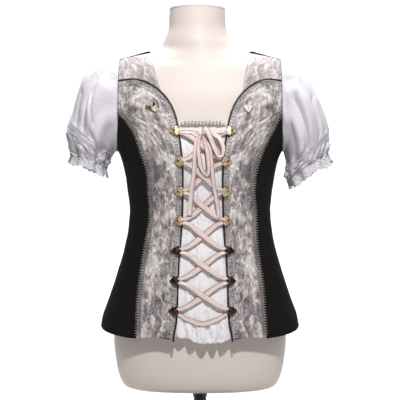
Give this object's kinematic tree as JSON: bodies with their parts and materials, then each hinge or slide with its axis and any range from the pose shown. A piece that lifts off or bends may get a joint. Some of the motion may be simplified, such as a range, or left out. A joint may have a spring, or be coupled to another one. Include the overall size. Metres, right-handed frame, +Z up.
{
  "type": "dirndl blouse on a limbless dress form",
  "caption": "Laced dirndl blouse with puff sleeves, brocade fronts, white insert and ribbon lacing, worn by a limbless dress form on a short round stand.",
  "frame": {"origin": "middle of the stand's underside, on the surface it stands on", "axes": "+Z up; the garment's front faces -Y; the wearer's left side is +X"},
  "size_m": [0.5337, 0.3, 0.9265],
  "materials": {
    "brocade": "silver-grey brocade with a soft sheen",
    "black_cloth": "matte black jersey",
    "black_piping": "covered cord, slightly glossy",
    "white_cotton": "thin matte batiste",
    "white_lace": "cotton lace",
    "grey_lace": "grey-green narrow lace",
    "silver_gimp": "silver-grey gimp braid",
    "pink_satin": "satin ribbon",
    "brass": "aged, satin",
    "cream_enamel": "gloss enamel",
    "form_shell": "off-white semi-gloss lacquer",
    "black_steel": "black powder coat"
  },
  "bodies": {
    "root": {"dress_form": "form_shell", "base_plate": "black_steel", "pole": "black_steel", "pole_socket": "black_steel", "back_panel": "black_cloth", "side_panel_left": "black_cloth", "front_panel_left": "brocade", "yoke_left": "brocade", "piping_left": "black_piping", "lace_band_left": "grey_lace", "gimp_left": "silver_gimp", "sleeve_puff_left": "white_cotton", "sleeve_insertion_left": "white_lace", "sleeve_cuff_left": "white_cotton", "sleeve_lace_left": "white_lace", "hook_left_1": "brass", "hook_left_2": "brass", "hook_left_3": "brass", "hook_left_4": "brass", "hook_left_5": "brass", "hook_left_6": "brass", "hook_left_7": "brass", "side_panel_right": "black_cloth", "front_panel_right": "brocade", "yoke_right": "brocade", "piping_right": "black_piping", "lace_band_right": "grey_lace", "gimp_right": "silver_gimp", "sleeve_puff_right": "white_cotton", "sleeve_insertion_right": "white_lace", "sleeve_cuff_right": "white_cotton", "sleeve_lace_right": "white_lace", "hook_right_1": "brass", "hook_right_2": "brass", "hook_right_3": "brass", "hook_right_4": "brass", "hook_right_5": "brass", "hook_right_6": "brass", "hook_right_7": "brass", "insert_panel": "white_cotton", "insert_lace": "grey_lace", "ribbon_strand_a": "pink_satin", "ribbon_strand_b": "pink_satin", "ribbon_bottom_loop": "pink_satin", "ribbon_top_right": "pink_satin", "ribbon_top_left": "pink_satin", "bow_loop_down": "pink_satin", "bow_loop_side": "pink_satin", "bow_tail_right": "pink_satin", "bow_tail_left": "pink_satin", "bow_knot": "pink_satin", "badge_sprig": "brass", "badge_heart": "cream_enamel"}
  },
  "joints": []
}
